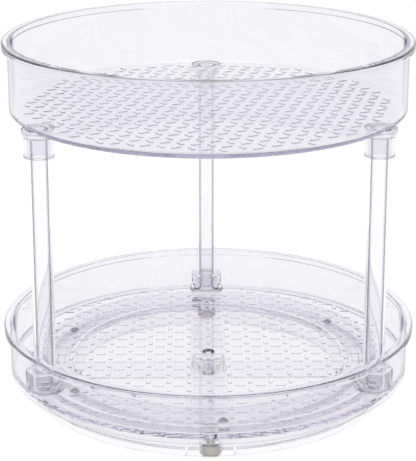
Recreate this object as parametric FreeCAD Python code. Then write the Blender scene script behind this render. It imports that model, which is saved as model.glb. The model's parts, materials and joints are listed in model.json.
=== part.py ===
# Two-tier clear plastic turntable: two round trays on three tube posts, turning on a ring
# of steel balls over a round base with rubber feet.
#
# Units are millimetres. +Z is up and is the axis that the trays turn about. The origin is
# on the surface that the feet stand on, in the middle. The front is towards -Y.
import FreeCAD, Part
import math
import os

UP = FreeCAD.Vector(0, 0, 1)
ORIGIN = FreeCAD.Vector(0, 0, 0)

# ---- driving dimensions -------------------------------------------------------------
# Trays
upper_rim_radius = 133.0      # outside of the upper tray's lip
lower_rim_step = 4.0          # the lower lip's outside is that much further out
rim_spacing = 190.5           # from the top of the lower lip to the top of the upper lip
upper_tray_depth = 47.0       # from the lip's top to the underside of the floor
lower_inside_depth = 27.0     # from the lip's top down to the lower floor
upper_floor_thickness = 2.8
lower_floor_thickness = 2.9
wall_thickness = 2.4
lip_overhang = 3.7            # how far the lip stands out from the wall
lip_height = 4.5
lip_outer_round = 1.6
lip_inner_round = 0.8
lip_under_round = 0.6
floor_fillet = 4.0            # inside corner between wall and floor
upper_bottom_round = 2.0      # outside corner under the upper tray
skirt_drop = 3.1              # the lower wall runs on below the floor
skirt_thickness = 2.2
skirt_round = 1.2

# Posts and what holds them
post_count = 3
post_first_angle = 90.0
post_inset = 7.85             # from the outside of the upper wall in to a post's axis
post_radius = 7.0
post_bore_radius = 5.3
collar_radius = 9.3
collar_length = 16.5          # below the upper floor
collar_roof = 4.2             # solid part of a collar above the post's end
flange_radius = 10.75
flange_height = 3.7
collar_bead = 0.45            # small bead round the collar's lower end
collar_bead_height = 1.4
socket_radius = 11.05
socket_height = 12.5          # above the lower floor
socket_foot_flare = 1.55
socket_foot_height = 2.5
peg_rise = 2.2                # the peg's tip above the socket's rim
peg_draft = 1.0               # how much thinner the peg is at its tip
peg_tip_chamfer = 0.4

# Balls, their cage and the tracks
ball_count = 6
ball_radius = 3.0
ball_first_angle = 34.4
track_inset = 26.4            # from the inside of the lower wall in to the balls' circle
track_half_width = 7.0
track_wall = 2.2
track_rise = 7.8              # the track's lands above the base plate
track_groove_depth = 2.0
cage_thickness = 2.0
cage_half_width = 10.0
rib_thickness = 2.3           # the two round ribs under the lower floor, beside the cage
rib_depth = 4.4

# Base
base_edge_beyond_rib = 1.2    # the base's edge beyond the outer rib
base_edge_height = 6.0
base_edge_thickness = 2.3
plate_thickness = 2.5
arm_count = 4
arm_width = 25.0
window_corner_radius = 8.0
ring_inner_margin = 2.0       # the base ring's inside edge, in from the inner rib
hub_foot_radius = 12.25
hub_top_radius = 10.5
hub_height = 10.0

# Feet
foot_stand = 3.0              # how far the rubber stands below the base
foot_radius = 5.3
foot_socket_depth = 5.0
foot_edge_round = 0.9
foot_boss_wall = 2.05
foot_boss_inset = 0.4         # the boss's side, in from the base's edge
foot_boss_height = 11.5       # above the base's lower edge
foot_stem_radius = 1.5
foot_stem_length = 4.8
foot_first_angle = 0.0
gusset_angle = 7.4            # each foot has a gusset this far to either side
gusset_thickness = 1.6

# Pivot
spigot_radius = 4.25
pin_radius = 2.0
pin_length = 11.0             # above the head
pin_head_radius = 6.5
pin_head_height = 2.2
pin_head_round = 0.8

# ---- clearances ---------------------------------------------------------------------
post_fit = 0.05               # radial, a post in its collar and socket
peg_clearance = 0.9           # radial, a peg's foot in a post's bore
spigot_fit = 0.10             # radial, running fit in the hub
pin_fit = 0.02                # radial, the pin pressed into the spigot
pin_end_space = 0.5
hub_end_play = 0.2            # between the pin's head and the hub
ball_gap = 0.15               # above and below a ball
groove_clearance = 0.4        # the groove's radius over the ball's
pocket_clearance = 0.35       # radial, a ball in its pocket
cage_lift = 0.10              # the cage above the track's lands
cage_outer_gap = 0.5          # between the cage and the outer rib
cage_inner_gap = 2.0          # between the cage and the inner rib
foot_fit = 0.05               # radial, a foot in its socket

# ---- places worked out from them ----------------------------------------------------
base_bottom_z = foot_stand
base_top_z = base_bottom_z + base_edge_height
plate_bottom_z = base_top_z - plate_thickness
land_z = base_top_z + track_rise
groove_bottom_z = land_z - track_groove_depth
ball_z = groove_bottom_z + ball_gap + ball_radius
lower_underside_z = ball_z + ball_radius + ball_gap
lower_floor_z = lower_underside_z + lower_floor_thickness
lower_rim_z = lower_floor_z + lower_inside_depth
upper_rim_z = lower_rim_z + rim_spacing
upper_underside_z = upper_rim_z - upper_tray_depth
upper_floor_z = upper_underside_z + upper_floor_thickness

lower_rim_radius = upper_rim_radius + lower_rim_step
upper_wall_radius = upper_rim_radius - lip_overhang
lower_wall_radius = lower_rim_radius - lip_overhang
post_circle = upper_wall_radius - post_inset
track_circle = lower_wall_radius - wall_thickness - track_inset

post_bottom_z = lower_floor_z
post_top_z = upper_underside_z - collar_roof
socket_rim_z = lower_floor_z + socket_height
post_seat_radius = post_radius + post_fit
peg_foot_radius = post_bore_radius - peg_clearance
peg_tip_radius = peg_foot_radius - peg_draft

cage_bottom_z = land_z + cage_lift
inner_rib_radius = track_circle - cage_half_width - cage_inner_gap
outer_rib_radius = track_circle + cage_half_width + cage_outer_gap
base_radius = outer_rib_radius + rib_thickness + base_edge_beyond_rib
base_ring_inner_radius = inner_rib_radius - ring_inner_margin

foot_socket_radius = foot_radius + foot_fit
foot_boss_radius = foot_socket_radius + foot_boss_wall
foot_circle = base_radius - foot_boss_inset - foot_boss_radius
foot_top_z = base_bottom_z + foot_socket_depth

hub_top_z = base_top_z + hub_height
spigot_end_z = plate_bottom_z - hub_end_play


# ---- shape helpers ------------------------------------------------------------------
def spot(radius, angle, z=0.0):
    """A point at that radius and angle about the turning axis."""
    a = math.radians(angle)
    return FreeCAD.Vector(radius * math.cos(a), radius * math.sin(a), z)


def around(count, first_angle):
    """Equally spaced angles, in degrees."""
    return [first_angle + 360.0 / count * i for i in range(count)]


def cylinder(radius, low_z, high_z, centre=ORIGIN):
    return Part.makeCylinder(radius, high_z - low_z, centre + UP * low_z, UP)


def tube(outer_radius, inner_radius, low_z, high_z, centre=ORIGIN):
    return cylinder(outer_radius, low_z, high_z, centre).cut(
        cylinder(inner_radius, low_z, high_z, centre)
    )


def cone(low_radius, high_radius, low_z, high_z, centre=ORIGIN):
    return Part.makeCone(low_radius, high_radius, high_z - low_z, centre + UP * low_z, UP)


def rounded_edges(corners):
    """Edges of a closed outline in the X-Z plane. Each corner is (radius, z, rounding)."""
    ends = []
    count = len(corners)
    for i, (r, z, rounding) in enumerate(corners):
        here = FreeCAD.Vector(r, 0, z)
        before = FreeCAD.Vector(corners[i - 1][0], 0, corners[i - 1][1])
        after = FreeCAD.Vector(corners[(i + 1) % count][0], 0, corners[(i + 1) % count][1])
        back = (before - here).normalize()
        on = (after - here).normalize()
        if rounding == 0:
            ends.append((here, here, here))
            continue
        half = back.getAngle(on) / 2
        along = rounding / math.tan(half)
        middle = (back + on).normalize() * (rounding / math.sin(half) - rounding)
        ends.append((here + back * along, here + middle, here + on * along))
    edges = []
    for i, (start, middle, end) in enumerate(ends):
        if (start - end).Length > 1e-7:
            edges.append(Part.Arc(start, middle, end).toShape())
        following = ends[(i + 1) % count][0]
        if (following - end).Length > 1e-7:
            edges.append(Part.LineSegment(end, following).toShape())
    return edges


def turned(corners):
    """The solid that the outline makes when it is turned about the Z axis."""
    wire = Part.Wire(rounded_edges(corners))
    return Part.Face(wire).revolve(ORIGIN, UP, 360)


def one_solid(shape):
    """Drops the seams between joined solids."""
    return shape.removeSplitter().Solids[0]


def wall_and_lip(wall_radius, rim_radius, rim_z, floor_z):
    """The corners up the outside of a tray's wall, over its lip and down to the floor."""
    return [
        (wall_radius, rim_z - lip_height, 0),
        (rim_radius, rim_z - lip_height, lip_under_round),
        (rim_radius, rim_z, lip_outer_round),
        (wall_radius - wall_thickness, rim_z, lip_inner_round),
        (wall_radius - wall_thickness, floor_z, floor_fillet),
        (0, floor_z, 0),
    ]


# ---- the pieces ---------------------------------------------------------------------
def make_upper_tray():
    """The deep tray, with a collar under its floor for each post."""
    tray = turned(
        [
            (0, upper_underside_z, 0),
            (upper_wall_radius, upper_underside_z, upper_bottom_round),
        ]
        + wall_and_lip(upper_wall_radius, upper_rim_radius, upper_rim_z, upper_floor_z)
    )
    collar_end_z = upper_underside_z - collar_length
    inside_floor_z = upper_underside_z + upper_floor_thickness / 2
    for angle in around(post_count, post_first_angle):
        centre = spot(post_circle, angle)
        bead_radius = collar_radius + collar_bead
        collar = cylinder(collar_radius, collar_end_z, inside_floor_z, centre)
        flange = cone(
            collar_radius,
            flange_radius,
            upper_underside_z - flange_height,
            upper_underside_z,
            centre,
        )
        bead = cylinder(bead_radius, collar_end_z, collar_end_z + collar_bead_height, centre)
        seat = cylinder(post_seat_radius, collar_end_z, post_top_z, centre)
        tray = tray.fuse([collar, flange, bead]).cut(seat)
    return one_solid(tray)


def make_lower_tray():
    """The shallow tray, with a socket for each post, the cage's ribs and the spigot."""
    skirt_z = lower_underside_z - skirt_drop
    tray = turned(
        [
            (0, lower_underside_z, 0),
            (lower_wall_radius - skirt_thickness, lower_underside_z, 0),
            (lower_wall_radius - skirt_thickness, skirt_z, 0),
            (lower_wall_radius, skirt_z, skirt_round),
        ]
        + wall_and_lip(lower_wall_radius, lower_rim_radius, lower_rim_z, lower_floor_z)
    )
    inside_floor_z = lower_underside_z + lower_floor_thickness / 2
    rib_z = lower_underside_z - rib_depth
    ribs = [
        tube(inner_rib_radius, inner_rib_radius - rib_thickness, rib_z, inside_floor_z),
        tube(outer_rib_radius + rib_thickness, outer_rib_radius, rib_z, inside_floor_z),
    ]
    spigot = cylinder(spigot_radius, spigot_end_z, inside_floor_z)
    pin_hole = cylinder(
        pin_radius + pin_fit, spigot_end_z, spigot_end_z + pin_length + pin_end_space
    )
    tray = tray.fuse(ribs + [spigot]).cut(pin_hole)
    peg_tip_z = socket_rim_z + peg_rise
    for angle in around(post_count, post_first_angle):
        centre = spot(post_circle, angle)
        sleeve = cylinder(socket_radius, inside_floor_z, socket_rim_z, centre)
        foot = cone(
            socket_radius + socket_foot_flare,
            socket_radius,
            lower_floor_z,
            lower_floor_z + socket_foot_height,
            centre,
        )
        within_wall = cylinder(
            lower_wall_radius - wall_thickness / 2, inside_floor_z, socket_rim_z
        )
        seat = cylinder(post_seat_radius, lower_floor_z, socket_rim_z, centre)
        shoulder_z = peg_tip_z - peg_tip_chamfer
        peg = cone(peg_foot_radius, peg_tip_radius, inside_floor_z, shoulder_z, centre)
        tip = cone(peg_tip_radius, peg_tip_radius - peg_tip_chamfer, shoulder_z, peg_tip_z, centre)
        socket = sleeve.fuse(foot).common(within_wall)
        tray = tray.fuse(socket).cut(seat).fuse([peg, tip])
    return one_solid(tray)


def make_post(angle):
    return tube(post_radius, post_bore_radius, post_bottom_z, post_top_z, spot(post_circle, angle))


def make_window():
    """One opening of the base, between two arms, with rounded corners."""
    half_arm = arm_width / 2
    size = base_ring_inner_radius
    corner = FreeCAD.Vector(half_arm, half_arm, plate_bottom_z)
    block = Part.makeBox(size, size, plate_thickness, corner)
    window = block.common(cylinder(size, plate_bottom_z, base_top_z))
    upright = [e for e in window.Edges if abs(e.tangentAt(e.FirstParameter).z) > 0.99]
    return window.makeFillet(window_corner_radius, upright)


def make_track():
    """The raised ring that the balls run on, hollow underneath, with a round groove."""
    inner = track_circle - track_half_width
    outer = track_circle + track_half_width
    body = turned(
        [
            (inner, plate_bottom_z, 0),
            (inner + track_wall, plate_bottom_z, 0),
            (inner + track_wall, groove_bottom_z - track_wall, 0),
            (outer - track_wall, groove_bottom_z - track_wall, 0),
            (outer - track_wall, plate_bottom_z, 0),
            (outer, plate_bottom_z, 0),
            (outer, land_z, 0),
            (inner, land_z, 0),
        ]
    )
    groove_radius = ball_radius + groove_clearance
    groove_centre = UP * (groove_bottom_z + groove_radius)
    return body.cut(Part.makeTorus(track_circle, groove_radius, groove_centre, UP))


def make_base():
    """The round base: ring, ball track, cross with a hub, and a boss for each foot."""
    plate = cylinder(base_radius, plate_bottom_z, base_top_z)
    for quarter in around(arm_count, 0):
        window = make_window()
        window.rotate(ORIGIN, UP, quarter)
        plate = plate.cut(window)
    inner = track_circle - track_half_width
    outer = track_circle + track_half_width
    underside = tube(outer - track_wall, inner + track_wall, plate_bottom_z, base_top_z)
    edge = tube(base_radius, base_radius - base_edge_thickness, base_bottom_z, base_top_z)
    hub = cone(hub_foot_radius, hub_top_radius, base_top_z, hub_top_z)
    base = plate.cut(underside).fuse([make_track(), edge, hub])
    base = base.cut(cylinder(spigot_radius + spigot_fit, plate_bottom_z, hub_top_z))
    gusset_reach = base_radius - base_edge_thickness / 2
    for angle in around(arm_count, foot_first_angle):
        centre = spot(foot_circle, angle)
        boss = cylinder(foot_boss_radius, base_bottom_z, base_bottom_z + foot_boss_height, centre)
        gussets = []
        for side in (-gusset_angle, gusset_angle):
            gusset = Part.makeBox(
                gusset_reach - outer + track_wall / 2,
                gusset_thickness,
                plate_bottom_z - base_bottom_z + plate_thickness / 2,
                FreeCAD.Vector(outer - track_wall / 2, -gusset_thickness / 2, base_bottom_z),
            )
            gusset.rotate(ORIGIN, UP, angle + side)
            gussets.append(gusset)
        socket = cylinder(foot_socket_radius, base_bottom_z, foot_top_z, centre)
        stem_hole = cylinder(
            foot_stem_radius + foot_fit, foot_top_z, foot_top_z + foot_stem_length, centre
        )
        base = base.fuse([boss] + gussets).cut(socket).cut(stem_hole)
    return one_solid(base)


def make_cage():
    """The flat ring that keeps the balls apart, with a round pocket for each."""
    cage_top_z = cage_bottom_z + cage_thickness
    cage = tube(
        track_circle + cage_half_width, track_circle - cage_half_width, cage_bottom_z, cage_top_z
    )
    for angle in around(ball_count, ball_first_angle):
        pocket_radius = ball_radius + pocket_clearance
        centre = spot(track_circle, angle)
        cage = cage.cut(cylinder(pocket_radius, cage_bottom_z, cage_top_z, centre))
    return one_solid(cage)


def make_ball(angle):
    return Part.makeSphere(ball_radius, spot(track_circle, angle, ball_z))


def make_pivot_pin():
    """A headed pin, pressed up into the spigot, whose head holds the hub from below."""
    head_top_z = spigot_end_z
    head_z = head_top_z - pin_head_height
    return one_solid(
        turned(
            [
                (0, head_z, 0),
                (pin_head_radius, head_z, pin_head_round),
                (pin_head_radius, head_top_z, 0),
                (pin_radius, head_top_z, 0),
                (pin_radius, head_top_z + pin_length, 0),
                (0, head_top_z + pin_length, 0),
            ]
        )
    )


def make_foot(angle):
    """A rubber plug: a round pad that stands on the surface, and a stem."""
    foot = turned(
        [
            (0, 0, 0),
            (foot_radius, 0, foot_edge_round),
            (foot_radius, foot_top_z, 0),
            (foot_stem_radius, foot_top_z, 0),
            (foot_stem_radius, foot_top_z + foot_stem_length, 0),
            (0, foot_top_z + foot_stem_length, 0),
        ]
    )
    foot.translate(spot(foot_circle, angle))
    return one_solid(foot)


def main():
    nodes = {
        "upper_tray": make_upper_tray(),
        "lower_tray": make_lower_tray(),
        "base_plate": make_base(),
        "ball_cage": make_cage(),
        "pivot_pin": make_pivot_pin(),
    }
    post_names = ["post_back", "post_left", "post_right"]
    for name, angle in zip(post_names, around(post_count, post_first_angle)):
        nodes[name] = make_post(angle)
    for i, angle in enumerate(around(ball_count, ball_first_angle)):
        nodes["ball_" + str(i + 1)] = make_ball(angle)
    foot_names = ["foot_right", "foot_back", "foot_left", "foot_front"]
    for name, angle in zip(foot_names, around(arm_count, foot_first_angle)):
        nodes[name] = make_foot(angle)
    os.makedirs("parts", exist_ok=True)
    for name, shape in nodes.items():
        shape.exportStep("parts/" + name + ".step")
        box = shape.BoundBox
        print(
            name,
            "valid" if shape.isValid() else "NOT VALID",
            len(shape.Solids),
            "volume %.1f" % shape.Volume,
            "z %.2f to %.2f" % (box.ZMin, box.ZMax),
            "reach %.2f" % max(-box.XMin, box.XMax, -box.YMin, box.YMax),
        )


main()
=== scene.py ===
"""Two-tier clear turntable: the looks of its pieces, and the stage it is shown on."""
import json
import math

import bmesh
import bpy
from mathutils import Matrix, Vector


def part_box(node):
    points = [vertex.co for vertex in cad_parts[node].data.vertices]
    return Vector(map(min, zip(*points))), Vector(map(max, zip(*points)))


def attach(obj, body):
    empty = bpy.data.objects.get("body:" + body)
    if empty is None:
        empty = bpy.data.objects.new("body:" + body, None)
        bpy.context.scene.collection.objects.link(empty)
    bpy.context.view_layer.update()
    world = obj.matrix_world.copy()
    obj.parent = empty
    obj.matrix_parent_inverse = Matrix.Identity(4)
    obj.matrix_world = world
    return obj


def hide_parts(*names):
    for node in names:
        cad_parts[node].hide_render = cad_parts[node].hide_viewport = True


bl_info = {
    "name": "Clear turntable",
    "version": (1, 0, 0),
    "blender": (4, 5, 0),
    "location": "View3D > Sidebar > Turntable",
    "description": "Models a two-tier clear plastic turntable on its packed frame",
    "category": "Object",
}

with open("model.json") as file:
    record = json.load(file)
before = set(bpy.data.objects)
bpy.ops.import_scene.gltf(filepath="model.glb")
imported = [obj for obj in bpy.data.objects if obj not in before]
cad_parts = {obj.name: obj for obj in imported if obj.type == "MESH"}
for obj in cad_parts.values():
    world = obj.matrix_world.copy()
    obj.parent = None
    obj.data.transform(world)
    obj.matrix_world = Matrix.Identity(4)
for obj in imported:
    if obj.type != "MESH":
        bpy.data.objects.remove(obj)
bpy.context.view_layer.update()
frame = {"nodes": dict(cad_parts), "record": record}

MM = 0.001
UP = Vector((0.0, 0.0, 1.0))

# In metres: points closer than MERGE are one point, and heights closer than SAME are one height.
MERGE = 1e-7
SAME = 1e-6

# How far a cutter runs on past what it cuts.
PAST = 1.0 * MM

# Radii of the moulded edges, from an almost sharp one to a plainly rounded one.
FINE_EDGE = 0.3 * MM
SOFT_EDGE = 0.4 * MM
ROUND_EDGE = 0.5 * MM
BROAD_EDGE = 0.6 * MM

# Straight pieces in the full circle of a round part, apart from the large pieces' own.
DISC_FLATS = 240
POST_FLATS = 72
SMALL_FLATS = 64
POCKET_FLATS = 48
GROOVE_FLATS = 24

# Faces that meet at more than this keep a sharp edge between them.
SHARP_ANGLE = math.radians(35.0)

# Noise scales, per metre: marks of handling about 11 mm across, polishing haze about 1.1 mm.
HANDLING_SCALE = 90.0
HAZE_SCALE = 900.0

# The studio: the floor's radius, the softbox over it, and how bright the room is from level
# (0) to straight up (1).
FLOOR_RADIUS = 6.0
SOFTBOX_PLACE = Vector((0.0, -0.9, 2.0))
SOFTBOX_SIZE = (2.4, 1.6)
ROOM = ((0.42, 1.0), (0.6, 0.4), (0.8, 0.2))
LEVEL_COLOUR = (1.0, 1.0, 1.0, 1.0)
OVERHEAD_COLOUR = (0.2, 0.2, 0.22, 1.0)
ROOM_BLUE = 1.01

# Light that runs along inside a clear floor bounces far more often than in other objects.
CLEAR_BOUNCES = 128
GLOSSY_BOUNCES = 24
DIFFUSE_BOUNCES = 4

POSTS = ("post_back", "post_left", "post_right")
FEET = ("foot_right", "foot_back", "foot_left", "foot_front")
BALLS = tuple(
    sorted(n for n in frame["nodes"] if n.startswith("ball_") and n != "ball_cage")
)


def top(node):
    """Height of a node's highest point."""
    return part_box(node)[1][2]


def bottom(node):
    """Height of a node's lowest point."""
    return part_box(node)[0][2]


def reach(node):
    """How far a round node reaches from the turning axis."""
    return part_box(node)[1][0]


def middle(node):
    """Centre of a node's box."""
    low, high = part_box(node)
    return (Vector(low) + Vector(high)) / 2


def linear(hex_colour):
    """Linear RGB of an sRGB hex colour."""
    parts = [int(hex_colour[i : i + 2], 16) / 255 for i in (1, 3, 5)]
    return [p / 12.92 if p <= 0.04045 else ((p + 0.055) / 1.055) ** 2.4 for p in parts]


def length(name, description, default_mm):
    """A size that shows in the panel, in millimetres here and metres in Blender."""
    return bpy.props.FloatProperty(
        name=name, description=description, default=default_mm * MM, unit="LENGTH", precision=5
    )


def colour(name, description, hex_colour):
    """A colour that shows in the panel."""
    return bpy.props.FloatVectorProperty(
        name=name, description=description, default=linear(hex_colour), subtype="COLOR", size=3
    )


# ---- settings -----------------------------------------------------------------------
class TraySettings(bpy.types.PropertyGroup):
    """Sizes of the two trays"""

    overhang: length("Lip overhang", "How far the lip stands out from the wall", 3.7)
    wall: length("Wall", "Thickness of the walls", 2.4)
    lip: length("Lip height", "Height of the lip", 4.5)
    lip_round: length("Lip rounding", "Radius of the lip's outer edge", 1.6)
    lip_inner: length("Inner lip rounding", "Radius of the lip's inner edge", 0.8)
    lip_under: length("Lip underside rounding", "Radius under the lip", 0.6)
    fillet: length("Floor fillet", "Radius between wall and floor", 1.8)
    upper_depth: length("Upper depth", "From the upper lip's top to the underside", 47.0)
    upper_floor: length("Upper floor", "Thickness of the upper floor", 2.8)
    upper_corner: length("Upper corner", "Radius of the corner under the upper tray", 3.8)
    lower_depth: length("Lower depth", "From the lower lip's top to its floor", 27.0)
    lower_floor: length("Lower floor", "Thickness of the lower floor", 2.9)
    skirt: length("Skirt", "How far the lower wall runs on below the floor", 3.1)
    skirt_wall: length("Skirt wall", "Thickness of the skirt", 2.2)
    skirt_round: length("Skirt rounding", "Radius of the skirt's outer edge", 1.2)
    rib: length("Rib", "Thickness of the round ribs under the lower floor", 2.3)
    rib_depth: length("Rib depth", "Depth of the round ribs", 4.4)
    inner_rib: length("Inner rib", "Inside radius of the inner rib", 90.2)
    outer_rib: length("Outer rib", "Inside radius of the outer rib", 115.0)
    spigot: length("Spigot", "Radius of the spigot that turns in the hub", 4.25)
    spigot_end: length("Spigot end", "Height of the spigot's end", 6.3)
    pin_hole: length("Pin hole", "Radius of the hole for the pin", 2.02)
    pin_hole_depth: length("Pin hole depth", "Depth of the hole for the pin", 11.5)
    segments: bpy.props.IntProperty(
        name="Segments", description="Straight pieces in a large circle", default=480, min=48
    )


class TreadSettings(bpy.types.PropertyGroup):
    """Sizes of the raised bars on the trays' floors"""

    pitch: length("Pitch", "Distance from one bar to the next in the same row", 13.2)
    bar_length: length("Bar length", "Length of a bar", 6.8)
    bar_width: length("Bar width", "Width of a bar", 2.9)
    bar_height: length("Bar height", "How far a bar stands above the floor", 0.5)
    margin: length("Margin", "Plain floor between the outermost bars and the wall", 7.5)
    upper_turn: bpy.props.FloatProperty(
        name="Upper turn",
        description="How far the upper tray's pattern is turned",
        default=math.radians(30),
        subtype="ANGLE",
    )


class PostSettings(bpy.types.PropertyGroup):
    """Sizes of the posts and of what holds them"""

    bore: length("Bore", "Radius of a post's bore", 5.3)
    fit: length("Fit", "Clearance round a post", 0.05)
    edge: length("Edge", "Chamfer on a post's ends", 0.25)
    collar: length("Collar", "Radius of a collar", 9.3)
    collar_length: length("Collar length", "How far a collar hangs below the floor", 16.5)
    flange: length("Flange", "Radius of a collar's flange", 10.75)
    flange_height: length("Flange height", "Height of a collar's flange", 3.7)
    bead: length("Bead", "How far the bead at a collar's end stands out", 0.45)
    bead_height: length("Bead height", "Height of that bead", 1.4)
    socket: length("Socket", "Radius of a socket", 11.05)
    socket_height: length("Socket height", "Height of a socket above the floor", 12.5)
    flare: length("Flare", "How far a socket's foot flares out", 1.55)
    flare_height: length("Flare height", "Height of the flare", 2.5)
    peg_rise: length("Peg rise", "The peg's tip above the socket's rim", 2.2)
    peg: length("Peg", "Radius of a peg's foot", 4.4)
    peg_draft: length("Peg draft", "How much thinner a peg is at its tip", 1.0)
    peg_edge: length("Peg edge", "Radius of the edge of a peg's tip", 0.6)


class BaseSettings(bpy.types.PropertyGroup):
    """Sizes of the base, the ball cage, the pin and the feet"""

    edge_height: length("Edge height", "Height of the base's edge", 6.0)
    edge_wall: length("Edge wall", "Thickness of the base's edge", 2.3)
    plate: length("Plate", "Thickness of the base's plate", 2.5)
    ring_inner: length("Ring inside", "Inside radius of the base's ring", 88.2)
    arm: length("Arm", "Width of an arm", 25.0)
    window_corner: length("Window corner", "Radius of a window's corners", 8.0)
    track_half: length("Track half width", "Half the ball track's width", 7.0)
    track_wall: length("Track wall", "Thickness of the track's walls", 2.2)
    land: length("Track rise", "Height of the track above the plate", 7.8)
    groove_depth: length("Groove depth", "Depth of the balls' groove", 2.0)
    groove: length("Groove", "Radius of the balls' groove", 3.4)
    hub_foot: length("Hub foot", "Radius of the hub's foot", 12.25)
    hub_top: length("Hub top", "Radius of the hub's top", 10.5)
    hub_bore: length("Hub bore", "Radius of the hub's bore", 4.35)
    boss: length("Boss", "Radius of a foot's boss", 6.8)
    boss_height: length("Boss height", "Height of a foot's boss", 11.5)
    socket_depth: length("Foot socket", "Depth of a foot's socket", 5.0)
    stem: length("Stem", "Radius of a foot's stem", 1.5)
    stem_length: length("Stem length", "Length of a foot's stem", 4.8)
    foot_squeeze: length("Foot squeeze", "How much a foot is squeezed by its socket", 0.03)
    foot_edge: length("Foot edge", "Radius of a foot's lower edge", 0.9)
    gusset: length("Gusset", "Thickness of the gussets beside a foot", 1.6)
    gusset_angle: bpy.props.FloatProperty(
        name="Gusset angle",
        description="Angle from a foot to the gusset on either side",
        default=math.radians(7.4),
        subtype="ANGLE",
    )
    pocket: length("Pocket", "Radius of a pocket in the cage", 3.35)
    cage_half: length("Cage half width", "Half the cage's width", 10.0)
    pin: length("Pin", "Radius of the pin's shank", 2.0)
    pin_head: length("Pin head", "Height of the pin's head", 2.2)
    pin_round: length("Pin rounding", "Radius of the head's edge", 0.8)


class FinishSettings(bpy.types.PropertyGroup):
    """Colours and surface of the materials"""

    clear: colour("Clear plastic", "Tint of the trays seen square on", "#F3F2F6")
    thin_clear: colour("Thin clear plastic", "Tint of the thin pieces seen square on", "#FBFBFD")
    # Painted shade: the four edge colours below are mixed in where a face is seen edge on,
    # darkening the edges in place of the dark lines that refraction draws there.
    edge: colour("Edge", "Tint where a tray is seen edge on", "#3C3662")
    thin_painted_edge_shade: colour("Thin edge", "Tint where a thin piece is seen edge on", "#8F8AA3")
    tube_painted_edge_shade: colour("Tube edge", "Tint where a tube's outside is seen edge on", "#B4B1BC")
    bore_painted_edge_shade: colour("Bore edge", "Tint where a tube's bore is seen edge on", "#4E4B56")
    depth: colour("Depth tint", "What light turns to on a long way through the plastic", "#A48FD4")
    density: bpy.props.FloatProperty(
        name="Depth density", description="Strength of the depth tint, per metre", default=3.5
    )
    ripple: length("Flow ripple", "Length of the faint ripples the mould leaves", 34.0)
    ripple_depth: length("Ripple depth", "Height of those ripples", 0.004)
    steel: colour("Ball steel", "Polished steel of the balls", "#78787E")
    rubber: colour("Foot rubber", "Soft rubber of the feet", "#FFFAF0")


class StageSettings(bpy.types.PropertyGroup):
    """Camera, lights and floor"""

    distance: length("Distance", "Camera's distance from the turning axis", 1002.3)
    height: length("Height", "Camera's height above the floor", 440.0)
    around: bpy.props.FloatProperty(
        name="Around", description="Camera's turn about the object", default=math.radians(-0.7),
        subtype="ANGLE",
    )
    pitch: bpy.props.FloatProperty(
        name="Pitch", description="How far the camera looks down", default=math.radians(15.403),
        subtype="ANGLE",
    )
    lens: bpy.props.FloatProperty(
        name="Lens", description="Focal length in millimetres", default=123.55
    )
    sensor: bpy.props.FloatProperty(
        name="Sensor", description="Width of the sensor in millimetres", default=36.0
    )
    shift_x: bpy.props.FloatProperty(name="Shift X", description="Lens shift", default=-0.0008)
    shift_y: bpy.props.FloatProperty(name="Shift Y", description="Lens shift", default=-0.1703)
    floor: colour("Floor", "Floor's own colour, under its glow", "#5E5E60")
    glow: bpy.props.FloatProperty(
        name="Floor glow", description="Light that comes up through the floor", default=0.96
    )
    softbox: bpy.props.FloatProperty(
        name="Softbox", description="Power of the softbox overhead, in watts", default=26.0
    )


SETTINGS = {
    "tray": TraySettings,
    "tread": TreadSettings,
    "post": PostSettings,
    "base": BaseSettings,
    "finish": FinishSettings,
    "stage": StageSettings,
}


class TurntableSettings(bpy.types.PropertyGroup):
    """All the turntable's settings"""

    tray: bpy.props.PointerProperty(name="Trays", type=TraySettings)
    tread: bpy.props.PointerProperty(name="Tread", type=TreadSettings)
    post: bpy.props.PointerProperty(name="Posts", type=PostSettings)
    base: bpy.props.PointerProperty(name="Base", type=BaseSettings)
    finish: bpy.props.PointerProperty(name="Finish", type=FinishSettings)
    stage: bpy.props.PointerProperty(name="Stage", type=StageSettings)


# ---- mesh helpers -------------------------------------------------------------------
def turned(outline, roundings=(), segments=DISC_FLATS, closed=False):
    """A solid turned from an outline of (radius, height) points about the Z axis.

    An open outline starts and ends on the axis. Each rounding is (radius, height, size):
    the sharp ring there is rounded to that size.
    """
    bm = bmesh.new()
    points = [bm.verts.new((r, 0.0, z)) for r, z in outline]
    for here, following in zip(points, points[1:]):
        bm.edges.new((here, following))
    if closed:
        bm.edges.new((points[-1], points[0]))
    bmesh.ops.spin(
        bm, geom=bm.verts[:] + bm.edges[:], cent=(0, 0, 0), axis=UP, angle=2 * math.pi,
        steps=segments, use_merge=True,
    )
    bmesh.ops.remove_doubles(bm, verts=bm.verts[:], dist=MERGE)
    poles = [v for v in bm.verts if v.co.xy.length < MERGE]
    for pole in poles:
        fan = pole.link_faces[:]
        if len({round(v.co.z, 7) for f in fan for v in f.verts}) == 1:
            bmesh.ops.dissolve_faces(bm, faces=fan, use_verts=False)
    for radius, height, size in roundings:
        ring = [
            e for e in bm.edges
            if all(
                abs(v.co.z - height) < 2 * SAME and abs(v.co.xy.length - radius) < 2 * SAME
                for v in e.verts
            )
        ]
        if not ring:
            raise RuntimeError("no ring at %.2f, %.2f mm" % (radius / MM, height / MM))
        large = size > 1.5 * MM
        bmesh.ops.bevel(
            bm, geom=ring, offset=size, offset_type="OFFSET", segments=5 if large else 3,
            profile=0.5, affect="EDGES", material=-1, clamp_overlap=True,
        )
    bmesh.ops.recalc_face_normals(bm, faces=bm.faces[:])
    return bm


def copies(source, places):
    """One mesh with the source at each place, and the source itself freed."""
    template = bpy.data.meshes.new("template")
    source.to_mesh(template)
    source.free()
    bm = bmesh.new()
    for place in places:
        before = len(bm.verts)
        bm.from_mesh(template)
        bm.verts.ensure_lookup_table()
        bmesh.ops.transform(bm, matrix=place, verts=bm.verts[before:])
    bpy.data.meshes.remove(template)
    return bm


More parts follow.
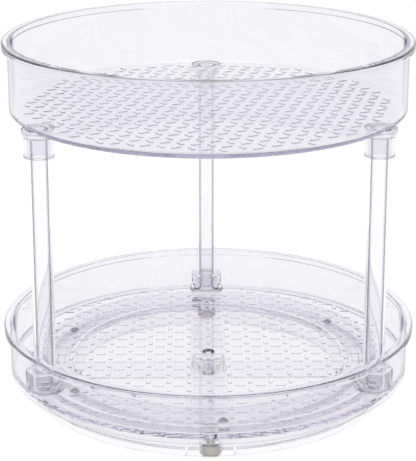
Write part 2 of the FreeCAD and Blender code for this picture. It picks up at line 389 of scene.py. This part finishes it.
def joined(*parts):
    """Several meshes as one. They mustn't meet."""
    bm = bmesh.new()
    for part in parts:
        held = bpy.data.meshes.new("held")
        part.to_mesh(held)
        part.free()
        bm.from_mesh(held)
        bpy.data.meshes.remove(held)
    return bm


def loose_object(name, bm):
    """An object for a mesh, in the scene."""
    mesh = bpy.data.meshes.new(name)
    bm.to_mesh(mesh)
    bm.free()
    obj = bpy.data.objects.new(name, mesh)
    bpy.context.scene.collection.objects.link(obj)
    return obj


def baked(obj):
    """Puts the result of the object's modifiers in its mesh."""
    bpy.context.view_layer.update()
    graph = bpy.context.evaluated_depsgraph_get()
    mesh = bpy.data.meshes.new_from_object(obj.evaluated_get(graph))
    old = obj.data
    obj.modifiers.clear()
    obj.data = mesh
    bpy.data.meshes.remove(old)


def combined(first, second, operation):
    """A solid joined with, cut by or kept within another one."""
    target = loose_object("target", first)
    tool = loose_object("tool", second)
    before = len(target.data.polygons)
    step = target.modifiers.new(operation, "BOOLEAN")
    step.object = tool
    step.operation = operation
    step.solver = "MANIFOLD"
    baked(target)
    if len(target.data.polygons) in (0, before):
        raise RuntimeError("the two solids did not combine: " + operation)
    bm = bmesh.new()
    bm.from_mesh(target.data)
    for obj in (target, tool):
        mesh = obj.data
        bpy.data.objects.remove(obj)
        bpy.data.meshes.remove(mesh)
    return bm


def piece(name, bm, materials, node):
    """A finished piece that stands for a node and moves with its body."""
    body = body_of(node)
    bmesh.ops.remove_doubles(bm, verts=bm.verts[:], dist=2 * MERGE)
    obj = loose_object(name, bm)
    for material in materials:
        obj.data.materials.append(material)
    obj.data.polygons.foreach_set("use_smooth", [True] * len(obj.data.polygons))
    obj.data.set_sharp_from_angle(angle=SHARP_ANGLE)
    weighted = obj.modifiers.new("flat faces stay flat", "WEIGHTED_NORMAL")
    weighted.keep_sharp = True
    baked(obj)
    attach(obj, body)
    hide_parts(node)
    return obj


def body_of(node):
    """The CAD body that a node belongs to."""
    bodies = frame["record"]["behaviour"]["bodies"]
    return next(body for body, nodes in bodies.items() if node in nodes)


def at(node):
    """A move to a node's place across the floor."""
    centre = middle(node)
    return Matrix.Translation((centre.x, centre.y, 0.0))


# ---- materials ----------------------------------------------------------------------
def add(tree, kind, values=None, links=None, **settings):
    """Adds a node, with its settings, its input values and the links into it."""
    node = tree.nodes.new(kind)
    for key, value in settings.items():
        setattr(node, key, value)
    for key, value in (values or {}).items():
        node.inputs[key].default_value = value
    for key, source in (links or {}).items():
        tree.links.new(source, node.inputs[key])
    return node


def empty_material(name):
    """A material with nothing in it but its output."""
    material = bpy.data.materials.new(name)
    material.use_nodes = True
    material.node_tree.nodes.clear()
    output = add(material.node_tree, "ShaderNodeOutputMaterial")
    return material, material.node_tree, output


def clear_plastic(finish, name, tint_and_painted_shade, painted_shade_span, roughness, deep=True):
    """A clear plastic with painted shade on its edges.

    Its two colours are for a face seen square on and seen edge on. The second is painted shade
    for the dark lines that refraction draws along a clear edge, and comes in over a span of how
    far the face is turned away. A deep one also turns the light that goes a long way through it.
    """
    if name in bpy.data.materials:
        return bpy.data.materials[name]
    material, tree, output = empty_material(name)
    place = add(tree, "ShaderNodeTexCoord")
    ripple = add(
        tree, "ShaderNodeTexNoise", {"Scale": 1 / finish.ripple, "Detail": 1.0, "Roughness": 0.4},
        {"Vector": place.outputs["Object"]},
    )
    handling = add(
        tree, "ShaderNodeTexNoise", {"Scale": HANDLING_SCALE, "Detail": 3.0},
        {"Vector": place.outputs["Object"]},
    )
    rough = add(
        tree, "ShaderNodeMapRange",
        {"From Min": 0.35, "From Max": 0.75, "To Min": roughness, "To Max": roughness * 3},
        {"Value": handling.outputs["Fac"]},
    )
    bump = add(
        tree, "ShaderNodeBump", {"Strength": 1.0, "Distance": finish.ripple_depth},
        {"Height": ripple.outputs["Fac"]},
    )
    # Painted shade: the edge colour is mixed into the base colour where the face is seen edge on,
    # in place of the dark lines that refraction draws there.
    facing = add(tree, "ShaderNodeLayerWeight", {"Blend": 0.5})
    rim = add(
        tree, "ShaderNodeMapRange", {"From Min": painted_shade_span[0], "From Max": painted_shade_span[1]},
        {"Value": facing.outputs["Facing"]}, interpolation_type="SMOOTHSTEP",
    )
    tint = add(
        tree, "ShaderNodeMix", links={"Factor": rim.outputs["Result"]}, data_type="RGBA",
    )
    # A colour mix has its two colours at inputs 6 and 7 and its result at output 2.
    for socket, shade in zip((6, 7), tint_and_painted_shade):
        tint.inputs[socket].default_value = (*shade, 1.0)
    shader = add(
        tree, "ShaderNodeBsdfPrincipled", {"IOR": 1.57, "Transmission Weight": 1.0},
        {
            "Base Color": tint.outputs[2],
            "Roughness": rough.outputs["Result"],
            "Normal": bump.outputs["Normal"],
        },
    )
    tree.links.new(shader.outputs["BSDF"], output.inputs["Surface"])
    if deep:
        depth = add(
            tree, "ShaderNodeVolumeAbsorption",
            {"Color": (*finish.depth, 1.0), "Density": finish.density},
        )
        tree.links.new(depth.outputs["Volume"], output.inputs["Volume"])
    return material


def clear_polystyrene(finish):
    """General purpose polystyrene, injection moulded in a polished mould.

    It is clear as glass, with faint flow ripples on the wide faces. Where it is seen edge on it
    is painted a dark greyish violet, painted shade, and a long way through it the light turns
    violet.
    """
    tint_and_painted_shade = (finish.clear, finish.edge)
    return clear_plastic(finish, "clear_polystyrene_moulded", tint_and_painted_shade, (0.78, 0.9), 0.012)


def thin_clear_polystyrene(finish):
    """The same polystyrene in the base, the cage and the pin: thin, with a paler painted shade at
    its edges.
    """
    tint_and_painted_shade = (finish.thin_clear, finish.thin_painted_edge_shade)
    name = "clear_polystyrene_thin_moulded"
    return clear_plastic(finish, name, tint_and_painted_shade, (0.85, 0.97), 0.012, deep=False)


def clear_tube(finish):
    """The same clear polystyrene, extruded as tube: straight and bright, its outside painted a pale
    grey where seen edge on, painted shade.
    """
    tint_and_painted_shade = (finish.thin_clear, finish.tube_painted_edge_shade)
    name = "clear_polystyrene_extruded"
    return clear_plastic(finish, name, tint_and_painted_shade, (0.8, 1.0), 0.008, deep=False)


def tube_bore(finish):
    """The bore of that tube, left by the die's core: its sides are painted dark where seen edge on,
    painted shade for the dark lines that refraction draws there.
    """
    tint_and_painted_shade = (finish.thin_clear, finish.bore_painted_edge_shade)
    name = "clear_polystyrene_extruded_bore"
    return clear_plastic(finish, name, tint_and_painted_shade, (0.2, 0.6), 0.008, deep=False)


def polished_steel(finish):
    """Hardened bearing steel, ground and polished: a small dark mirror with a fine haze."""
    name = "bearing_steel_polished"
    if name in bpy.data.materials:
        return bpy.data.materials[name]
    material, tree, output = empty_material(name)
    place = add(tree, "ShaderNodeTexCoord")
    haze = add(
        tree, "ShaderNodeTexNoise", {"Scale": HAZE_SCALE, "Detail": 2.0},
        {"Vector": place.outputs["Object"]},
    )
    rough = add(
        tree, "ShaderNodeMapRange", {"To Min": 0.04, "To Max": 0.12}, {"Value": haze.outputs["Fac"]}
    )
    shader = add(
        tree, "ShaderNodeBsdfPrincipled",
        {"Base Color": (*finish.steel, 1.0), "Metallic": 1.0},
        {"Roughness": rough.outputs["Result"]},
    )
    tree.links.new(shader.outputs["BSDF"], output.inputs["Surface"])
    return material


def soft_rubber(finish):
    """Thermoplastic rubber, moulded: off-white, dull, with a little light passing into it.

    Its mould leaves a fine grain about 0.6 mm across.
    """
    name = "thermoplastic_rubber_moulded"
    if name in bpy.data.materials:
        return bpy.data.materials[name]
    material, tree, output = empty_material(name)
    place = add(tree, "ShaderNodeTexCoord")
    grain = add(
        tree, "ShaderNodeTexNoise", {"Scale": 1 / (0.6 * MM), "Detail": 3.0},
        {"Vector": place.outputs["Object"]},
    )
    bump = add(
        tree, "ShaderNodeBump", {"Strength": 0.25, "Distance": 0.0001},
        {"Height": grain.outputs["Fac"]},
    )
    rough = add(
        tree, "ShaderNodeMapRange", {"To Min": 0.5, "To Max": 0.7}, {"Value": grain.outputs["Fac"]}
    )
    shader = add(
        tree, "ShaderNodeBsdfPrincipled",
        {
            "Base Color": (*finish.rubber, 1.0),
            "Subsurface Weight": 0.3,
            "Subsurface Scale": 0.002,
            "IOR": 1.5,
        },
        {"Roughness": rough.outputs["Result"], "Normal": bump.outputs["Normal"]},
    )
    tree.links.new(shader.outputs["BSDF"], output.inputs["Surface"])
    return material


# ---- shapes -------------------------------------------------------------------------
def tray_rim(tray, rim_radius, rim_z, floor_z):
    """The outline up a tray's outside, over its lip and down to the floor, and its roundings."""
    wall_radius = rim_radius - tray.overhang
    inside = wall_radius - tray.wall
    outline = [
        (wall_radius, rim_z - tray.lip),
        (rim_radius, rim_z - tray.lip),
        (rim_radius, rim_z),
        (inside, rim_z),
        (inside, floor_z),
        (0.0, floor_z),
    ]
    roundings = [
        (rim_radius, rim_z - tray.lip, tray.lip_under),
        (rim_radius, rim_z, tray.lip_round),
        (inside, rim_z, tray.lip_inner),
        (inside, floor_z, tray.fillet),
    ]
    return outline, roundings


def tread_bar(tread):
    """One raised bar: a short strip with round ends and a rounded top, sunk into the floor."""
    sunk = tread.bar_height
    bm = bmesh.new()
    bmesh.ops.create_cube(bm, size=1.0)
    size = (tread.bar_width, tread.bar_length, tread.bar_height + sunk)
    bmesh.ops.scale(bm, vec=size, verts=bm.verts[:])
    bmesh.ops.translate(bm, vec=(0, 0, (tread.bar_height - sunk) / 2), verts=bm.verts[:])
    upright = [e for e in bm.edges if abs(e.verts[0].co.z - e.verts[1].co.z) > SAME]
    nearly_half_round = tread.bar_width * 0.46
    bmesh.ops.bevel(
        bm, geom=upright, offset=nearly_half_round, offset_type="OFFSET", segments=3,
        profile=0.5, affect="EDGES", material=-1,
    )
    crown = [e for e in bm.edges if all(v.co.z > tread.bar_height - SAME for v in e.verts)]
    nearly_whole_height = tread.bar_height * 0.8
    bmesh.ops.bevel(
        bm, geom=crown, offset=nearly_whole_height, offset_type="OFFSET", segments=2,
        profile=0.5, affect="EDGES", material=-1,
    )
    return bm


def tread_places(tread, radius, floor_z, turn, clear_of=(), clearance=0.0):
    """Where the bars go: two square grids, one between the other, with their bars crosswise."""
    places = []
    count = int(radius / tread.pitch) + 2
    for offset, quarter in ((0.0, 0.0), (0.5, math.pi / 2)):
        for i in range(-count, count + 1):
            for j in range(-count, count + 1):
                spot = Vector(((i + offset) * tread.pitch, (j + offset) * tread.pitch, 0.0))
                spot.rotate(Matrix.Rotation(turn, 3, "Z"))
                if spot.length > radius:
                    continue
                if any((spot.xy - post.xy).length < clearance for post in clear_of):
                    continue
                spot.z = floor_z
                places.append(Matrix.Translation(spot) @ Matrix.Rotation(turn + quarter, 4, "Z"))
    return places


def window_block(base, low, high):
    """Four blocks that cut the windows between the arms."""
    half = base.arm / 2
    ring = turned([(0.0, low), (base.ring_inner, low), (base.ring_inner, high), (0.0, high)])
    quarter = bmesh.new()
    bmesh.ops.create_cube(quarter, size=1.0)
    span = base.ring_inner
    bmesh.ops.scale(quarter, vec=(span, span, 2 * (high - low)), verts=quarter.verts[:])
    shift = (half + span / 2, half + span / 2, (low + high) / 2)
    bmesh.ops.translate(quarter, vec=shift, verts=quarter.verts[:])
    window = combined(ring, quarter, "INTERSECT")
    bmesh.ops.dissolve_limit(
        window, angle_limit=math.radians(0.2), verts=window.verts[:], edges=window.edges[:]
    )
    corners = []
    for e in window.edges:
        a, b = e.verts
        if abs(a.co.z - b.co.z) < SAME:
            continue
        if e.is_manifold and e.calc_face_angle() > math.radians(30):
            corners.append(e)
    bmesh.ops.bevel(
        window, geom=corners, offset=base.window_corner, offset_type="OFFSET", segments=8,
        profile=0.5, affect="EDGES", material=-1, clamp_overlap=True,
    )
    bmesh.ops.recalc_face_normals(window, faces=window.faces[:])
    return copies(window, [Matrix.Rotation(math.pi / 2 * k, 4, "Z") for k in range(4)])


# ---- operators ----------------------------------------------------------------------
class TURNTABLE_OT_upper_tray(bpy.types.Operator):
    """Model the upper tray with its collars and tread"""

    bl_idname = "turntable.upper_tray"
    bl_label = "Upper tray"

    def execute(self, context):
        settings = context.scene.turntable
        tray, tread, post = settings.tray, settings.tread, settings.post
        rim_radius, rim_z = reach("upper_tray"), top("upper_tray")
        under = rim_z - tray.upper_depth
        floor = under + tray.upper_floor
        wall_radius = rim_radius - tray.overhang
        rim, roundings = tray_rim(tray, rim_radius, rim_z, floor)
        roundings.append((wall_radius, under, tray.upper_corner))
        body = turned([(0.0, under), (wall_radius, under)] + rim, roundings, tray.segments)

        end = under - post.collar_length
        inside = under + tray.upper_floor / 2
        seat_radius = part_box("post_back")[1][0] + post.fit
        bead = post.collar + post.bead
        collar = turned(
            [
                (0.0, top("post_back")),
                (seat_radius, top("post_back")),
                (seat_radius, end),
                (bead, end),
                (bead, end + post.bead_height),
                (post.collar, end + post.bead_height),
                (post.collar, under - post.flange_height),
                (post.flange, under),
                (post.flange, inside),
                (0.0, inside),
            ],
            [
                (bead, end, FINE_EDGE),
                (bead, end + post.bead_height, FINE_EDGE),
                (seat_radius, end, FINE_EDGE),
            ],
            SMALL_FLATS,
        )
        collars = copies(collar, [at(name) for name in POSTS])
        bars = copies(
            tread_bar(tread),
            tread_places(tread, wall_radius - tray.wall - tread.margin, floor, tread.upper_turn),
        )
        shape = combined(body, joined(collars, bars), "UNION")
        material = clear_polystyrene(settings.finish)
        piece("upper_tray_moulding", shape, [material], "upper_tray")
        return {"FINISHED"}


class TURNTABLE_OT_lower_tray(bpy.types.Operator):
    """Model the lower tray with its sockets, ribs, spigot and tread"""

    bl_idname = "turntable.lower_tray"
    bl_label = "Lower tray"

    def execute(self, context):
        settings = context.scene.turntable
        tray, tread, post = settings.tray, settings.tread, settings.post
        rim_radius, rim_z = reach("lower_tray"), top("lower_tray")
        floor = rim_z - tray.lower_depth
        under = floor - tray.lower_floor
        wall_radius = rim_radius - tray.overhang
        skirt = under - tray.skirt
        rib = under - tray.rib_depth
        rim, roundings = tray_rim(tray, rim_radius, rim_z, floor)
        roundings.append((wall_radius, skirt, tray.skirt_round))
        hole_top = tray.spigot_end + tray.pin_hole_depth
        body = turned(
            [
                (0.0, hole_top),
                (tray.pin_hole, hole_top),
                (tray.pin_hole, tray.spigot_end),
                (tray.spigot, tray.spigot_end),
                (tray.spigot, under),
                (tray.inner_rib, under),
                (tray.inner_rib, rib),
                (tray.inner_rib + tray.rib, rib),
                (tray.inner_rib + tray.rib, under),
                (tray.outer_rib, under),
                (tray.outer_rib, rib),
                (tray.outer_rib + tray.rib, rib),
                (tray.outer_rib + tray.rib, under),
                (wall_radius - tray.skirt_wall, under),
                (wall_radius - tray.skirt_wall, skirt),
                (wall_radius, skirt),
            ]
            + rim,
            roundings,
            tray.segments,
        )

        inside = under + tray.lower_floor / 2
        mouth = floor + post.socket_height
        tip = mouth + post.peg_rise
        seat_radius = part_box("post_back")[1][0] + post.fit
        socket = turned(
            [
                (0.0, inside),
                (post.socket + post.flare, inside),
                (post.socket + post.flare, floor),
                (post.socket, floor + post.flare_height),
                (post.socket, mouth),
                (seat_radius, mouth),
                (seat_radius, floor),
                (post.peg, floor),
                (post.peg - post.peg_draft, tip),
                (0.0, tip),
            ],
            [
                (post.socket, mouth, ROUND_EDGE),
                (seat_radius, mouth, FINE_EDGE),
                (post.peg - post.peg_draft, tip, post.peg_edge),
            ],
            POST_FLATS,
        )
        sockets = copies(socket, [at(name) for name in POSTS])
        within = wall_radius - tray.wall / 2
        disc = turned([(0.0, under), (within, under), (within, rim_z), (0.0, rim_z)])
        sockets = combined(sockets, disc, "INTERSECT")
        bars = copies(
            tread_bar(tread),
            tread_places(
                tread, wall_radius - tray.wall - tread.margin, floor, 0.0,
                [middle(name) for name in POSTS], post.socket + post.flare + tread.bar_length / 2,
            ),
        )
        shape = combined(body, joined(sockets, bars), "UNION")
        material = clear_polystyrene(settings.finish)
        piece("lower_tray_moulding", shape, [material], "lower_tray")
        return {"FINISHED"}


class TURNTABLE_OT_posts(bpy.types.Operator):
    """Model the tube posts"""

    bl_idname = "turntable.posts"
    bl_label = "Posts"

    def execute(self, context):
        settings = context.scene.turntable
        post = settings.post
        for name in POSTS:
            low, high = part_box(name)
            radius = (high[0] - low[0]) / 2
            tube = turned(
                [(radius, low[2]), (radius, high[2]), (post.bore, high[2]), (post.bore, low[2])],
                [(r, z, post.edge) for r in (radius, post.bore) for z in (low[2], high[2])],
                POST_FLATS,
                closed=True,
            )
            # The bore's own faces take the second material.
            for face in tube.faces:
                widest = max(v.co.xy.length for v in face.verts)
                face.material_index = 1 if widest < post.bore + post.edge / 2 else 0
            tube = copies(tube, [at(name)])
            materials = [clear_tube(settings.finish), tube_bore(settings.finish)]
            piece(name + "_tube", tube, materials, name)
        return {"FINISHED"}


class TURNTABLE_OT_base(bpy.types.Operator):
    """Model the base with its ball track, windows, hub and foot bosses"""

    bl_idname = "turntable.base"
    bl_label = "Base"

    def execute(self, context):
        settings = context.scene.turntable
        base = settings.base
        radius, low = reach("base_plate"), bottom("base_plate")
        hub_top = top("base_plate")
        face = low + base.edge_height
        under = face - base.plate
        land = face + base.land
        ring = middle(BALLS[0]).xy.length
        inner, outer = ring - base.track_half, ring + base.track_half
        hollow = land - base.groove_depth - base.track_wall
        body = turned(
            [
                (base.hub_bore, under),
                (inner + base.track_wall, under),
                (inner + base.track_wall, hollow),
                (outer - base.track_wall, hollow),
                (outer - base.track_wall, under),
                (radius - base.edge_wall, under),
                (radius - base.edge_wall, low),
                (radius, low),
                (radius, face),
                (outer, face),
                (outer, land),
                (inner, land),
                (inner, face),
                (base.hub_foot, face),
                (base.hub_top, hub_top),
                (base.hub_bore, hub_top),
            ],
            [
                (radius, low, ROUND_EDGE),
                (radius, face, BROAD_EDGE),
                (outer, land, SOFT_EDGE),
                (inner, land, SOFT_EDGE),
                (base.hub_top, hub_top, BROAD_EDGE),
                (base.hub_bore, hub_top, SOFT_EDGE),
                (base.hub_foot, face, SOFT_EDGE),
            ],
            settings.tray.segments,
            closed=True,
        )
        groove = bmesh.new()
        bmesh.ops.create_circle(groove, segments=GROOVE_FLATS, radius=base.groove)
        upright = Matrix.Rotation(math.pi / 2, 3, "X")
        bmesh.ops.rotate(groove, cent=(0, 0, 0), matrix=upright, verts=groove.verts[:])
        centre_z = land - base.groove_depth + base.groove
        bmesh.ops.translate(groove, vec=(ring, 0, centre_z), verts=groove.verts[:])
        bmesh.ops.spin(
            groove, geom=groove.verts[:] + groove.edges[:], cent=(0, 0, 0), axis=UP,
            angle=2 * math.pi, steps=settings.tray.segments, use_merge=True,
        )
        bmesh.ops.remove_doubles(groove, verts=groove.verts[:], dist=MERGE)
        bmesh.ops.recalc_face_normals(groove, faces=groove.faces[:])
        cutters = joined(groove, window_block(base, under - PAST, face + PAST))
        body = combined(body, cutters, "DIFFERENCE")

        boss_top = low + base.boss_height
        boss = turned(
            [(0.0, low), (base.boss, low), (base.boss, boss_top), (0.0, boss_top)],
            [(base.boss, boss_top, ROUND_EDGE), (base.boss, low, FINE_EDGE)],
            SMALL_FLATS,
        )
        bosses = copies(boss, [at(name) for name in FEET])
        gusset = bmesh.new()
        bmesh.ops.create_cube(gusset, size=1.0)
        start, stop = outer - base.track_wall / 2, radius - base.edge_wall / 2
        size = (stop - start, base.gusset, face - base.plate / 2 - low)
        bmesh.ops.scale(gusset, vec=size, verts=gusset.verts[:])
        shift = ((start + stop) / 2, 0, low + size[2] / 2)
        bmesh.ops.translate(gusset, vec=shift, verts=gusset.verts[:])
        turns = []
        for name in FEET:
            spot = middle(name)
            angle = math.atan2(spot.y, spot.x)
            for side in (-1, 1):
                turns.append(Matrix.Rotation(angle + side * base.gusset_angle, 4, "Z"))
        body = combined(body, joined(bosses, copies(gusset, turns)), "UNION")

        foot_low, foot_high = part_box("foot_front")
        socket_radius = (foot_high[0] - foot_low[0]) / 2 - base.foot_squeeze
        socket_top = low + base.socket_depth - base.foot_squeeze
        stem = base.stem - base.foot_squeeze
        below = low - PAST
        hole = turned(
            [
                (0.0, below),
                (socket_radius, below),
                (socket_radius, socket_top),
                (stem, socket_top),
                (stem, socket_top + base.stem_length),
                (0.0, socket_top + base.stem_length),
            ],
            (),
            SMALL_FLATS,
        )
        shape = combined(body, copies(hole, [at(name) for name in FEET]), "DIFFERENCE")
        material = thin_clear_polystyrene(settings.finish)
        piece("base_moulding", shape, [material], "base_plate")
        return {"FINISHED"}


class TURNTABLE_OT_cage(bpy.types.Operator):
    """Model the ball cage"""

    bl_idname = "turntable.cage"
    bl_label = "Ball cage"

    def execute(self, context):
        settings = context.scene.turntable
        base = settings.base
        low, high = bottom("ball_cage"), top("ball_cage")
        outer = reach("ball_cage")
        inner = outer - 2 * base.cage_half
        ring = turned(
            [(inner, low), (outer, low), (outer, high), (inner, high)],
            [(r, z, SOFT_EDGE) for r in (inner, outer) for z in (low, high)],
            settings.tray.segments,
            closed=True,
        )
        below, above = low - PAST, high + PAST
        pocket = turned(
            [(0.0, below), (base.pocket, below), (base.pocket, above), (0.0, above)],
            (),
            POCKET_FLATS,
        )
        shape = combined(ring, copies(pocket, [at(name) for name in BALLS]), "DIFFERENCE")
        material = thin_clear_polystyrene(settings.finish)
        piece("cage_moulding", shape, [material], "ball_cage")
        return {"FINISHED"}


class TURNTABLE_OT_balls(bpy.types.Operator):
    """Give the balls their polished steel"""

    bl_idname = "turntable.balls"
    bl_label = "Balls"

    def execute(self, context):
        steel = polished_steel(context.scene.turntable.finish)
        for name in BALLS:
            node = frame["nodes"][name]
            for slot in node.material_slots:
                slot.material = steel
        return {"FINISHED"}


class TURNTABLE_OT_pin(bpy.types.Operator):
    """Model the pivot pin"""

    bl_idname = "turntable.pin"
    bl_label = "Pivot pin"

    def execute(self, context):
        settings = context.scene.turntable
        base = settings.base
        low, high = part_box("pivot_pin")
        head_radius, head_top = high[0], low[2] + base.pin_head
        shape = turned(
            [
                (0.0, low[2]),
                (head_radius, low[2]),
                (head_radius, head_top),
                (base.pin, head_top),
                (base.pin, high[2]),
                (0.0, high[2]),
            ],
            [(head_radius, low[2], base.pin_round), (base.pin, high[2], ROUND_EDGE)],
            SMALL_FLATS,
        )
        material = thin_clear_polystyrene(settings.finish)
        piece("pin_moulding", shape, [material], "pivot_pin")
        return {"FINISHED"}


class TURNTABLE_OT_feet(bpy.types.Operator):
    """Model the rubber feet"""

    bl_idname = "turntable.feet"
    bl_label = "Feet"

    def execute(self, context):
        settings = context.scene.turntable
        base = settings.base
        rubber = soft_rubber(settings.finish)
        for name in FEET:
            low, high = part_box(name)
            radius = (high[0] - low[0]) / 2
            shoulder = high[2] - base.stem_length
            foot = turned(
                [
                    (0.0, low[2]),
                    (radius, low[2]),
                    (radius, shoulder),
                    (base.stem, shoulder),
                    (base.stem, high[2]),
                    (0.0, high[2]),
                ],
                [(radius, low[2], base.foot_edge), (base.stem, high[2], SOFT_EDGE)],
                SMALL_FLATS,
            )
            piece(name + "_rubber", copies(foot, [at(name)]), [rubber], name)
        return {"FINISHED"}


class TURNTABLE_OT_stage(bpy.types.Operator):
    """Set the floor, the soft light and the camera"""

    bl_idname = "turntable.stage"
    bl_label = "Stage"

    def execute(self, context):
        stage = context.scene.turntable.stage
        scene = context.scene
        floor = bmesh.new()
        bmesh.ops.create_circle(floor, cap_ends=True, segments=96, radius=FLOOR_RADIUS)
        floor_object = loose_object("floor", floor)
        material, tree, output = empty_material("painted_paper_floor")
        shader = add(
            tree, "ShaderNodeBsdfPrincipled",
            {
                "Base Color": (*stage.floor, 1.0),
                "Roughness": 0.8,
                "Specular IOR Level": 0.1,
                "Emission Color": (1.0, 1.0, 1.0, 1.0),
                "Emission Strength": stage.glow,
            },
        )
        tree.links.new(shader.outputs["BSDF"], output.inputs["Surface"])
        floor_object.data.materials.append(material)

        world = bpy.data.worlds.new("studio")
        scene.world = world
        world.use_nodes = True
        tree = world.node_tree
        tree.nodes.clear()
        place = add(tree, "ShaderNodeTexCoord")
        height = add(tree, "ShaderNodeSeparateXYZ", links={"Vector": place.outputs["Generated"]})
        ramp = add(tree, "ShaderNodeValToRGB", links={"Fac": height.outputs["Z"]})
        stops = ramp.color_ramp.elements
        stops[0].position, stops[0].color = 0.0, LEVEL_COLOUR
        stops[1].position, stops[1].color = 1.0, OVERHEAD_COLOUR
        for position, value in ROOM:
            stop = stops.new(position)
            stop.color = (value, value, value * ROOM_BLUE, 1.0)
        sky = add(tree, "ShaderNodeBackground", {"Strength": 1.0}, {"Color": ramp.outputs["Color"]})
        add(tree, "ShaderNodeOutputWorld", links={"Surface": sky.outputs["Background"]})

        light = bpy.data.lights.new("overhead softbox", "AREA")
        light.shape = "RECTANGLE"
        light.size, light.size_y = SOFTBOX_SIZE
        light.energy = stage.softbox
        lamp = bpy.data.objects.new("overhead softbox", light)
        lamp.location = SOFTBOX_PLACE
        aim = Vector() - SOFTBOX_PLACE
        lamp.rotation_euler = aim.to_track_quat("-Z", "Y").to_euler()
        scene.collection.objects.link(lamp)

        lens = bpy.data.cameras.new("camera")
        lens.lens = stage.lens
        lens.sensor_width = stage.sensor
        lens.shift_x, lens.shift_y = stage.shift_x, stage.shift_y
        lens.clip_start, lens.clip_end = 0.05, 50.0
        camera = bpy.data.objects.new("camera", lens)
        turn = Matrix.Rotation(stage.around, 4, "Z")
        tilt = Matrix.Rotation(math.pi / 2 - stage.pitch, 4, "X")
        camera.matrix_world = turn @ Matrix.Translation((0, -stage.distance, stage.height)) @ tilt
        scene.collection.objects.link(camera)
        scene.camera = camera

        scene.view_settings.view_transform = "Standard"
        scene.cycles.max_bounces = CLEAR_BOUNCES
        scene.cycles.transmission_bounces = CLEAR_BOUNCES
        scene.cycles.glossy_bounces = GLOSSY_BOUNCES
        scene.cycles.diffuse_bounces = DIFFUSE_BOUNCES
        return {"FINISHED"}


PIECES = (
    TURNTABLE_OT_upper_tray,
    TURNTABLE_OT_lower_tray,
    TURNTABLE_OT_posts,
    TURNTABLE_OT_base,
    TURNTABLE_OT_cage,
    TURNTABLE_OT_balls,
    TURNTABLE_OT_pin,
    TURNTABLE_OT_feet,
    TURNTABLE_OT_stage,
)


class TURNTABLE_PT_panel(bpy.types.Panel):
    """The turntable's pieces and settings"""

    bl_idname = "TURNTABLE_PT_panel"
    bl_label = "Turntable"
    bl_space_type = "VIEW_3D"
    bl_region_type = "UI"
    bl_category = "Turntable"

    def draw(self, context):
        layout = self.layout
        for operator in PIECES:
            layout.operator(operator.bl_idname)
        for group, kind in SETTINGS.items():
            box = layout.box()
            box.label(text=kind.__doc__)
            for key in kind.__annotations__:
                box.prop(getattr(context.scene.turntable, group), key)


CLASSES = tuple(SETTINGS.values()) + (TurntableSettings,) + PIECES + (TURNTABLE_PT_panel,)


def register():
    """Add the classes and the scene's settings."""
    for each in CLASSES:
        bpy.utils.register_class(each)
    bpy.types.Scene.turntable = bpy.props.PointerProperty(type=TurntableSettings)


def unregister():
    """Take them away again."""
    del bpy.types.Scene.turntable
    for each in reversed(CLASSES):
        bpy.utils.unregister_class(each)


def main():
    """Make every piece in order."""
    register()
    bpy.ops.turntable.upper_tray()
    bpy.ops.turntable.lower_tray()
    bpy.ops.turntable.posts()
    bpy.ops.turntable.base()
    bpy.ops.turntable.cage()
    bpy.ops.turntable.balls()
    bpy.ops.turntable.pin()
    bpy.ops.turntable.feet()
    bpy.ops.turntable.stage()


if __name__ == "__main__":
    main()
